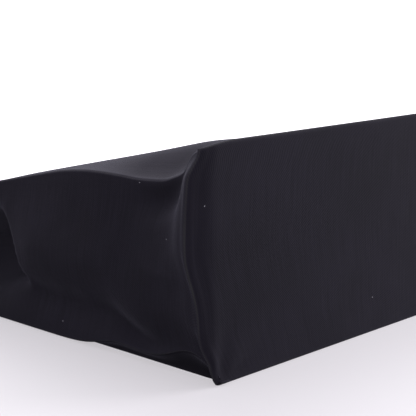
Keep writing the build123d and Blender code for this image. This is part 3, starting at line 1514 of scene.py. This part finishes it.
@dataclass
class MouthFinish:
    """Facings and turned hems inside the mouth, with the rows of stitches that hold them."""

    form: BagForm
    shell: Shell
    finishes: Finishes
    depth: float = 0.035
    side_gap: float = 0.009
    hem_gap: float = 0.0065
    row_gap: float = 0.012
    hem_row_gap: float = 0.010
    row_from_rim: tuple[float, float] = (0.0035, 0.031)

    def facing(self, name: str, node: str, surface: Surface, across: bool) -> bpy.types.Object:
        """A strip of cloth inside a panel's mouth edge.

        Args:
            name: The piece's name.
            node: The CAD node that it stands for.
            surface: The panel's outer face.
            across: True on the front and back, where the mouth edge runs across the bag.

        Returns:
            The facing, not yet joined to a body.
        """
        f = self.form
        rim, hem = self.shell.rim_turn, Turn(EdgeKind.SEAM, 0.0004, steps=3)
        deep = rows(f.length - self.depth, f.length, hem, rim, 0.004, 0.004, 0.01)
        if across:
            low, high = surface.low[0] + self.side_gap, surface.high[0] - self.side_gap
            grid = rows(low, high, hem, hem, 0.005, 0.005, 0.01), deep
        else:
            grid = deep, rows(self.hem_gap, f.gusset_cut - self.hem_gap, hem, hem, 0.0024, 0.0024, 0.01)
        lift = CANVAS + LAYER_GAP + CANVAS

        def spot(a: tuple[float, float], b: tuple[float, float]) -> tuple[Vector, tuple[float, float]]:
            """Point of the facing and its place on the flat cloth, for a row each way."""
            (p, dp), (q, dq) = a, b
            return surface.point(p, q, dp + dq - lift), (p, q + 0.3)

        obj = grid_piece(name, *grid, spot, -surface.outward)
        thicken(obj, CANVAS)
        dress(obj, self.finishes.twill)
        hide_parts(node)
        return obj

    def sew_rows(
        self, name: str, surface: Surface, ends: Sequence[Callable[[float], tuple[float, float]]]
    ) -> bpy.types.Object:
        """Two rows of stitches near the mouth, seen on both faces of the cloth.

        Args:
            name: The bag's side that they are on.
            surface: The panel's outer face.
            ends: Give a row's two ends at a distance from the base.

        Returns:
            The stitches, not yet joined to a body.
        """
        inner = 2 * CANVAS + LAYER_GAP + STITCH_LIFT
        places = []
        for from_rim in self.row_from_rim:
            first, last = (end(self.form.length - from_rim) for end in ends)
            places += row_on(surface, first, last, -inner) + row_on(surface, first, last, STITCH_LIFT)
        sewn = STITCH.sew(f"{name}_mouth_stitching", places)
        dress(sewn, self.finishes.thread)
        return sewn

    def build(self) -> None:
        """Make the facings, the gusset hems and their stitches."""
        f, shell = self.form, self.shell
        for name in ("front", "back"):
            surface = shell.surfaces[name]
            strip = self.facing(f"{name}_facing_cloth", f"{name}_facing", surface, True)
            low, high = surface.low[0] + self.row_gap, surface.high[0] - self.row_gap
            sewn = self.sew_rows(name, surface, (lambda q, x=low: (x, q), lambda q, x=high: (x, q)))
            for piece in (strip, sewn):
                if name == "front":
                    shell.bend(piece)
                else:
                    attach(piece, "bag_body")
        low, high = self.hem_row_gap, f.gusset_cut - self.hem_row_gap
        for side in Side:
            name = side.name.lower()
            surface = shell.surfaces[side.name]
            hem = self.facing(f"{name}_hem_cloth", f"{name}_gusset_hem", surface, False)
            sewn = self.sew_rows(name, surface, (lambda v: (v, low), lambda v: (v, high)))
            shell.bend(hem)
            shell.bend(sewn)
        LOG.info("made the mouth's facings and stitching")


# ------------------------------------------------------------------ handles


@dataclass(frozen=True)
class StrapRoute:
    """Where the middle of a strap runs: plan distances along its loop, then its place in space."""

    half_span: float = 0.065
    tail: float = 0.040
    corner: float = 0.048
    reach: float = 0.251

    @property
    def leg(self) -> float:
        """Length of a straight leg from the strap's root to the first corner."""
        return self.reach - self.corner

    @property
    def turn(self) -> float:
        """Length of one corner."""
        return self.corner * math.pi / 2

    @property
    def grip(self) -> float:
        """Length of the straight grip between the corners."""
        return 2 * (self.half_span - self.corner)

    def plan(self, d: float) -> tuple[float, float, float, float]:
        """Place in the flat loop at a distance d past the left root.

        Args:
            d: Distance along the strap's middle.

        Returns:
            Place across, distance out from the root, and the direction across the strap to
            its right as two numbers.
        """
        legs, turn, grip = self.leg, self.turn, self.grip
        total = 2 * legs + 2 * turn + grip
        mirrored = d > total / 2
        d = total - d if mirrored else d
        if d <= legs:
            x, out, angle = -self.half_span, d, 0.0
        elif d <= legs + turn:
            angle = (d - legs) / self.corner
            x = -self.half_span + self.corner * (1 - math.cos(angle))
            out = legs + self.corner * math.sin(angle)
        else:
            angle = math.pi / 2
            x = -self.half_span + self.corner + (d - legs - turn)
            out = self.reach
        side_x, side_out = math.cos(angle), -math.sin(angle)
        if mirrored:
            return -x, out, side_x, -side_out
        return x, out, side_x, side_out

    @property
    def loop(self) -> float:
        """Length of the loop from root to root."""
        return 2 * self.leg + 2 * self.turn + self.grip


@dataclass
class Strap:
    """One folded canvas handle with its sewn tails and its stitching."""

    name: str
    form: BagForm
    shell: Shell
    finishes: Finishes
    width: float = 0.028
    thickness: float = 0.0022
    rows_from_middle: float = 0.0112
    box: tuple[float, float] = (0.020, 0.030)
    box_from_rim: float = 0.004
    stitch_room: float = 0.00035
    edge_round: tuple[float, int] = (0.0008, 3)
    ripple_height: float = 0.0009
    row_from_end: float = 0.002
    row_lift: float = 0.00004
    route: StrapRoute = StrapRoute()
    body: str = ""
    held: str = ""

    def middle(self, d: float, across: float) -> Vector:
        """Point of the strap's middle layer at d along it and across from its centre line."""
        raise NotImplementedError

    def stations(self) -> list[float]:
        """Distances along the strap where rings of points lie."""
        raise NotImplementedError

    def bend_line(self) -> tuple[Vector, Vector]:
        """Where the strap starts to turn with its loop and where it turns fully."""
        raise NotImplementedError

    def ripple(self, d: float, across: float) -> float:
        """Slight buckling of the inner edge where the flat strap turns a corner.

        Args:
            d: Distance along the strap past its left root.
            across: Distance from its centre line.

        Returns:
            The height of the ripple.
        """
        r = self.route
        half = abs(d - r.loop / 2)
        into = (r.loop / 2 - half - r.leg) / r.turn
        if not 0 < into < 1:
            return 0.0
        inner = ease(-0.2, 1.0, across / (self.width / 2))
        return self.ripple_height * inner * math.sin(into * math.pi * 6) * math.sin(into * math.pi)

    def normal(self, d: float, across: float) -> Vector:
        """Normal of the strap's upper face.

        Args:
            d: Distance along the strap past its left root.
            across: Distance from its centre line.

        Returns:
            The normal, one long.
        """
        e = 0.0003
        ahead = self.middle(d + e, across) - self.middle(d - e, across)
        side = self.middle(d, across + e) - self.middle(d, across - e)
        return side.cross(ahead).normalized()

    def build_strap(self) -> bpy.types.Object:
        """Sweep the flat strap and give it its thickness and rounded edges.

        Returns:
            The strap, not yet joined to its bodies.
        """
        half = self.width / 2
        across = [(half * k / 4, 0.0) for k in range(-4, 5)]
        along = [(d, 0.0) for d in self.stations()]

        def spot(a: tuple[float, float], b: tuple[float, float]) -> tuple[Vector, tuple[float, float]]:
            """Point of the strap and its place on the flat web."""
            return self.middle(b[0], a[0]), (a[0], b[0] + 0.2)

        d = along[len(along) // 2][0]
        obj = grid_piece(f"{self.name}_strap", across, along, spot, self.normal(d, 0.0))
        thicken(obj, self.thickness, 0.0, self.edge_round, 50)
        dress(obj, self.finishes.strap)
        return obj

    def edge_rows(self) -> list[Matrix]:
        """Two rows of stitches down the strap, on both faces.

        Returns:
            One matrix for each stitch.
        """
        tail, gap = self.route.tail, self.row_from_end
        start, stop = -tail + gap, self.route.loop + tail - gap
        found = []
        for across in (-self.rows_from_middle, self.rows_from_middle):
            for face in (1, -1):

                def spot(d: float, a: float = across, f: int = face) -> tuple[Vector, Vector]:
                    """Place one point of a row.

                    Args:
                        d: Distance along the row.
                        a: Distance from the strap's centre line.
                        f: The face that it is on, 1 or -1.

                    Returns:
                        The point, and the strap's normal there.
                    """
                    n = self.normal(d + start, a)
                    lift = n * f * (self.thickness / 2 + self.row_lift)
                    return self.middle(d + start, a) + lift, n * f

                found += stitch_row(spot, stop - start)
        return found

    def box_rows(self, surface: Surface, lifts: Sequence[float]) -> list[Matrix]:
        """Box-and-cross stitching through both strap tails, seen on a panel's faces.

        Args:
            surface: The panel's outer face.
            lifts: How far each layer of stitches stands off it.

        Returns:
            One matrix for each stitch.
        """
        found = []
        wide, deep = self.box
        far = self.form.length - self.box_from_rim
        for x in (-self.route.half_span, self.route.half_span):
            corners = [
                (x - wide / 2, far - deep),
                (x + wide / 2, far - deep),
                (x + wide / 2, far),
                (x - wide / 2, far),
            ]
            lines = [(corners[i], corners[(i + 1) % 4]) for i in range(4)]
            lines += [(corners[0], corners[2]), (corners[1], corners[3])]
            for first, last in lines:
                for lift in lifts:
                    found += row_on(surface, first, last, lift)
        return found

    def build(self) -> None:
        """Make the strap, its stitches and the boxes sewn through the panel."""
        name = self.name
        strap = self.build_strap()
        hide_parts(f"{name}_handle", f"{name}_strap_ends")
        sewn = STITCH.sew(f"{name}_strap_stitching", self.edge_rows())
        inner = 2 * CANVAS + LAYER_GAP + self.thickness + self.stitch_room
        lifts = (STITCH_LIFT, -inner)
        boxes = STITCH.sew(f"{name}_box_stitching", self.box_rows(self.shell.surfaces[name], lifts))
        for piece in (sewn, boxes):
            dress(piece, self.finishes.thread)
        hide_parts(f"{name}_strap_stitches")
        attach(boxes, self.body)
        start, end = self.bend_line()
        for piece in (strap, sewn):
            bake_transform(piece)
            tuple(start)
            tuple(end)
        flat = self.width, self.route.loop + 2 * self.route.tail
        LOG.info("made the %s strap, %.3f long", name, flat[1])


@dataclass
class FrontStrap(Strap):
    """The front handle: up round the mouth edge and back over the front panel."""

    body: str = "front_side"
    held: str = "folded"
    bend: float = 0.0015
    tail_n: float = -0.0024
    over_n: float = 0.0022
    root_s: float = 0.400
    root_lift: float = 0.0007
    # The loop is lifted off its tails over this length past the turn, and sinks back over these
    lift_over: float = 0.006
    lift_ends: tuple[float, float] = (0.030, 0.110)
    bend_lean: float = 0.030
    bend_span: tuple[float, float] = (0.00002, 0.0007)
    # Rings are the first gap apart round the mouth edge, and the second wider away from it
    ring_gaps: tuple[float, float] = (0.0004, 0.0031)
    ring_spread: tuple[float, float] = (0.004, 0.02)

    def on_panel(self, x: float, s: float, n: float) -> Vector:
        """Point by the front panel, following its settled form.

        Args:
            x: Place across the bag.
            s: Distance down the panel from the fold.
            n: Distance out of the panel.

        Returns:
            The point.
        """
        f = self.form
        drop = f.front_drop(x / f.half_width, min(s, f.length)) * math.cos(f.slope)
        at = f.hinge + f.along * s + f.normal * (n - drop)
        return Vector((x, at.y, at.z))

    @property
    def rise(self) -> float:
        """Length of the turn from the tail to the panel's outside, round the mouth edge."""
        return (self.over_n - self.bend - self.tail_n) + self.bend * math.pi / 2

    def profile(self, d: float) -> tuple[float, float]:
        """Path of the strap's middle round the mouth edge, seen from the side.

        Args:
            d: Distance past the root, below 0 on the tail.

        Returns:
            Distance down the panel and height out of it.
        """
        straight = self.over_n - self.bend - self.tail_n
        if d <= 0:
            return self.root_s + min(self.bend, self.bend + d), self.tail_n
        if d <= straight:
            return self.root_s + self.bend, self.tail_n + d
        turned = min((d - straight) / self.bend, math.pi / 2)
        s = self.root_s + self.bend * math.cos(turned)
        n = self.over_n - self.bend + self.bend * math.sin(turned)
        return s - max(0.0, d - straight - self.bend * math.pi / 2), n

    def middle(self, d: float, across: float) -> Vector:
        """Point of the strap's middle layer.

        Args:
            d: Distance along the strap past its left root.
            across: Distance from its centre line.

        Returns:
            The point.
        """
        r = self.route
        mirror, near = (-1, r.loop - d) if d > r.loop / 2 else (1, d)
        s, n = self.profile(near)
        if near < self.rise:
            return self.on_panel(mirror * (across - r.half_span), s, n)
        x, out, side_x, side_out = r.plan(d)
        if near > r.leg:
            s = self.root_s - (out - self.rise)
        lifted = ease(self.rise, self.rise + self.lift_over, near) - ease(*self.lift_ends, near)
        n += self.ripple(d, across) + self.root_lift * lifted
        a = mirror * across
        return self.on_panel(x + side_x * a, s - side_out * a, n)

    def stations(self) -> list[float]:
        """Where rings of points lie, closest together round the mouth edge.

        Returns:
            Distances along the strap.
        """
        r = self.route
        found = [-r.tail]
        while found[-1] < r.loop + r.tail - 1e-6:
            d = found[-1]
            near = min(abs(d - self.rise / 2), abs(d - r.loop + self.rise / 2))
            found.append(d + self.ring_gaps[0] + self.ring_gaps[1] * ease(*self.ring_spread, near))
        found[-1] = r.loop + r.tail
        return found

    def bend_line(self) -> tuple[Vector, Vector]:
        """Line through the cloth, leaning back so that the sagging loop stays past its end.

        Returns:
            Where the turn starts and where it is full.
        """
        f = self.form
        root = f.hinge + f.along * self.root_s
        rising = (f.normal - f.along * self.bend_lean).normalized()
        low, high = self.bend_span
        return root + rising * low, root + rising * high


@dataclass
class BackStrap(Strap):
    """The back handle: out flat on the table beyond the mouth."""

    body: str = "bag_body"
    held: str = "laid"
    tail_z: float = 0.0028
    rest_z: float = 0.0013
    root_gap: float = 0.0015
    arch_height: float = 0.0016
    arch_length: float = 0.16
    arch_uneven: float = 0.2
    ring_gap: float = 0.003
    bend_span: tuple[float, float] = (-0.0015, 0.0065)

    def middle(self, d: float, across: float) -> Vector:
        """Point of the strap's middle layer.

        Args:
            d: Distance along the strap past its left root.
            across: Distance from its centre line.

        Returns:
            The point.
        """
        r = self.route
        mirror, near = (-1, r.loop - d) if d > r.loop / 2 else (1, d)
        root_y = self.form.base_y + self.form.length + self.root_gap
        if near <= 0:
            return Vector((mirror * (across - r.half_span), root_y + near, self.tail_z))
        x, out, side_x, side_out = r.plan(d)
        x, out = x + side_x * mirror * across, out + side_out * mirror * across
        z = self.tail_z + (self.rest_z - self.tail_z) * min(out / r.reach, 1.0)
        along = min(max(out / self.arch_length, 0), 1)
        uneven = 1 - self.arch_uneven + self.arch_uneven * mirror
        arch = self.arch_height * math.sin(math.pi * along) * uneven
        z += arch + abs(self.ripple(d, across))
        return Vector((x, root_y + out, z))

    def stations(self) -> list[float]:
        """Where rings of points lie.

        Returns:
            Distances along the strap.
        """
        total = self.route.loop + 2 * self.route.tail
        count = round(total / self.ring_gap)
        return [-self.route.tail + total * i / count for i in range(count + 1)]

    def bend_line(self) -> tuple[Vector, Vector]:
        """Line out from the mouth edge.

        Returns:
            Where the turn starts and where it is full.
        """
        rim_y = self.form.base_y + self.form.length
        low, high = self.bend_span
        return Vector((0, rim_y + low, 0)), Vector((0, rim_y + high, 0))


# ------------------------------------------------------------------ bound seams inside


@dataclass
class BoundSeams:
    """Seam allowances inside the bag, each wrapped in binding tape."""

    form: BagForm
    shell: Shell
    finishes: Finishes
    width: float = 0.010
    thickness: float = 0.0015
    # How far in from each seam the tapes start, and which way the base's tapes lean in
    base_gap: float = 0.0030
    back_gap: float = 0.0022
    base_lean: tuple[float, float] = (0.90, 0.44)
    # How far the tapes wander, and how often along their length
    base_sway: tuple[float, float] = (0.0006, 130)
    back_sway: tuple[float, float] = (0.0003, 90)
    # The back's tapes clear the cloth and sink in step with its curled-up edge
    back_clearance: float = 0.0004
    back_sink: float = 0.35
    edge_round: tuple[float, int] = (0.0005, 2)
    ring_gap: float = 0.003

    def tape(
        self, name: str, node: str, spot: Callable[[float, float], Vector], length: float, up: Vector
    ) -> None:
        """One bound allowance.

        Args:
            name: The piece's name.
            node: The CAD node that it stands for.
            spot: Gives the tape's middle layer from its share across and its distance along.
            length: The tape's length.
            up: Direction that its middle faces.
        """
        across = [(k / 6, 0.0) for k in range(7)]
        count = round(length / self.ring_gap)
        along = [(length * k / count, 0.0) for k in range(count + 1)]
        obj = grid_piece(
            name, across, along, lambda a, b: (spot(a[0], b[0]), (a[0] * self.width, b[0])), up
        )
        thicken(obj, self.thickness, 0.0, self.edge_round, 50)
        dress(obj, self.finishes.tape)
        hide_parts(node)
        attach(obj, "bag_body")

    def build(self) -> None:
        """Make the four bound allowances."""
        f = self.form
        for side in Side:
            name = side.name.lower()
            low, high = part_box(f"{name}_base_binding")

            def base_spot(share: float, d: float, s: Side = side, z0: float = low.z) -> Vector:
                """Middle of the tape that runs up the end seam.

                Args:
                    share: Share of the way across the tape.
                    d: Distance along it.
                    s: The side that it is on.
                    z0: Height at which it starts.

                Returns:
                    The point.
                """
                z = z0 + d
                inwards = Vector((-s.value * self.base_lean[0], self.base_lean[1], 0)).normalized()
                sway = self.base_sway[0] * math.sin(z * self.base_sway[1] + s.value)
                reach = self.base_gap + share * self.width
                return f.base(s.value, z) + inwards * reach + Vector((0, sway, 0))

            up = Vector((0, 1, 0))
            self.tape(f"{name}_base_tape", f"{name}_base_binding", base_spot, high.z - low.z, up)
            low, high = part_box(f"{name}_back_binding")

            def back_spot(share: float, d: float, s: Side = side, y0: float = low.y) -> Vector:
                """Middle of the tape that lies along the back seam.

                Args:
                    share: Share of the way across the tape.
                    d: Distance along it.
                    s: The side that it is on.
                    y0: Where it starts.

                Returns:
                    The point.
                """
                v = y0 + d - f.base_y
                root = f.back(s.value * (f.half_width - self.back_gap), v)
                sunk = share * self.width * self.back_sink * ease(0.001, 0.006, root.z)
                sway = self.back_sway[0] * abs(math.sin(v * self.back_sway[1]))
                over = CANVAS + self.thickness / 2 + self.back_clearance + sway - sunk
                return root + Vector((-s.value * share * self.width, 0, over))

            up = Vector((0, 0, 1))
            self.tape(f"{name}_back_tape", f"{name}_back_binding", back_spot, high.y - low.y, up)
        dress(frame["nodes"]["base_board"], self.finishes.board)
        LOG.info("made the bound seams")


# ------------------------------------------------------------------ studio


@dataclass
class Studio:
    """A pale table under plain soft light, with the camera low at one corner of the base."""

    camera_at: tuple[float, float, float] = (-0.5848, -0.5726, 0.193)
    pitch: float = math.radians(90 - 10.9)
    heading: float = math.radians(-46.3)
    lens: float = 102.1
    floor_size: float = 40.0
    table_colour: tuple[float, float, float] = (0.235, 0.226, 0.240)
    # Painted light: the table's glow, seen only by camera rays, near the bag and far from it, with where it
    # grows: at these distances behind the bag and at these around it
    glow: tuple[float, float] = (0.515, 1.3)
    glow_behind: tuple[float, float] = (-0.05, 0.30)
    glow_around: tuple[float, float] = (0.9, 2.4)
    sky_colour: tuple[float, float, float] = (0.95, 0.945, 1.0)
    sky_strength: float = 0.96

    def build_camera(self) -> None:
        """Place the camera."""
        data = bpy.data.cameras.new("camera")
        data.lens = self.lens
        data.sensor_width = 36.0
        data.clip_start, data.clip_end = 0.01, 100.0
        camera = bpy.data.objects.new("camera", data)
        camera.location = self.camera_at
        camera.rotation_euler = (self.pitch, 0.0, self.heading)
        bpy.context.scene.collection.objects.link(camera)
        bpy.context.scene.camera = camera

    def build_floor(self) -> None:
        """Lay the table, which brightens away from the bag and most of all behind it."""
        bpy.ops.object.select_all(action="DESELECT")
        bpy.ops.mesh.primitive_plane_add(size=self.floor_size)
        floor = bpy.context.object
        floor.name = "table_top"
        n = Nodes("pale_table")
        place = n.add("ShaderNodeTexCoord").outputs["Object"]
        axes = n.add("ShaderNodeSeparateXYZ")
        n.link(place, axes.inputs[0])
        ahead = n.math(
            "ADD",
            n.math("MULTIPLY", axes.outputs[0], -math.sin(self.heading)),
            n.math("MULTIPLY", axes.outputs[1], math.cos(self.heading)),
        )
        away = n.add("ShaderNodeVectorMath", operation="LENGTH")
        n.link(place, away.inputs[0])
        behind = n.ranged(ahead, self.glow, self.glow_behind, "SMOOTHSTEP")
        round_about = n.ranged(away.outputs["Value"], self.glow, self.glow_around, "SMOOTHSTEP")
        brightest = n.math("MAXIMUM", behind, round_about)
        # Painted light: the glow counts for camera rays only, so it lights nothing else in the scene
        seen = n.add("ShaderNodeLightPath").outputs["Is Camera Ray"]
        glow_seen = n.math("MULTIPLY", brightest, seen)
        n.link(glow_seen, n.shader.inputs["Emission Strength"])
        n.dress(Base_Color=(*self.table_colour, 1), Emission_Color=(0.985, 0.950, 1.0, 1))
        n.dress(Roughness=0.55, Specular_IOR_Level=0.3)
        dress(floor, n.material)

    def build_light(self) -> None:
        """Fill the room with even white light and hang two softboxes over the table."""
        scene = bpy.context.scene
        world = bpy.data.worlds.new("studio")
        scene.world = world
        world.use_nodes = True
        background = world.node_tree.nodes["Background"]
        background.inputs["Color"].default_value = (*self.sky_colour, 1)
        background.inputs["Strength"].default_value = self.sky_strength
        scene.view_settings.view_transform = "Standard"
        for name, at, size, power in (
            ("softbox_over", (0.7, 0.6, 1.5), 1.6, 34.0),
            ("softbox_right", (0.90, -0.72, 0.70), 0.7, 15.0),
            ("softbox_left", (-1.5, 0.15, 0.8), 1.0, 2.3),
        ):
            data = bpy.data.lights.new(name, "AREA")
            data.size, data.energy = size, power
            lamp = bpy.data.objects.new(name, data)
            lamp.location = at
            lamp.rotation_euler = (Vector((0, 0, 0.05)) - Vector(at)).to_track_quat("-Z", "Y").to_euler()
            scene.collection.objects.link(lamp)

    def build(self) -> None:
        """Set up the camera, the table and the light."""
        self.build_camera()
        self.build_floor()
        self.build_light()


def main() -> None:
    """Build the bag in order and report each part."""
    logging.basicConfig(level=logging.INFO, format="%(name)s: %(message)s")
    Studio().build()
    form = read_form()
    finishes = make_finishes()
    shell = Shell(form, finishes)
    shell.build()
    shell.declare()
    MouthFinish(form, shell, finishes).build()
    FrontStrap("front", form, shell, finishes).build()
    BackStrap("back", form, shell, finishes).build()
    BoundSeams(form, shell, finishes).build()


if __name__ == "__main__":
    main()
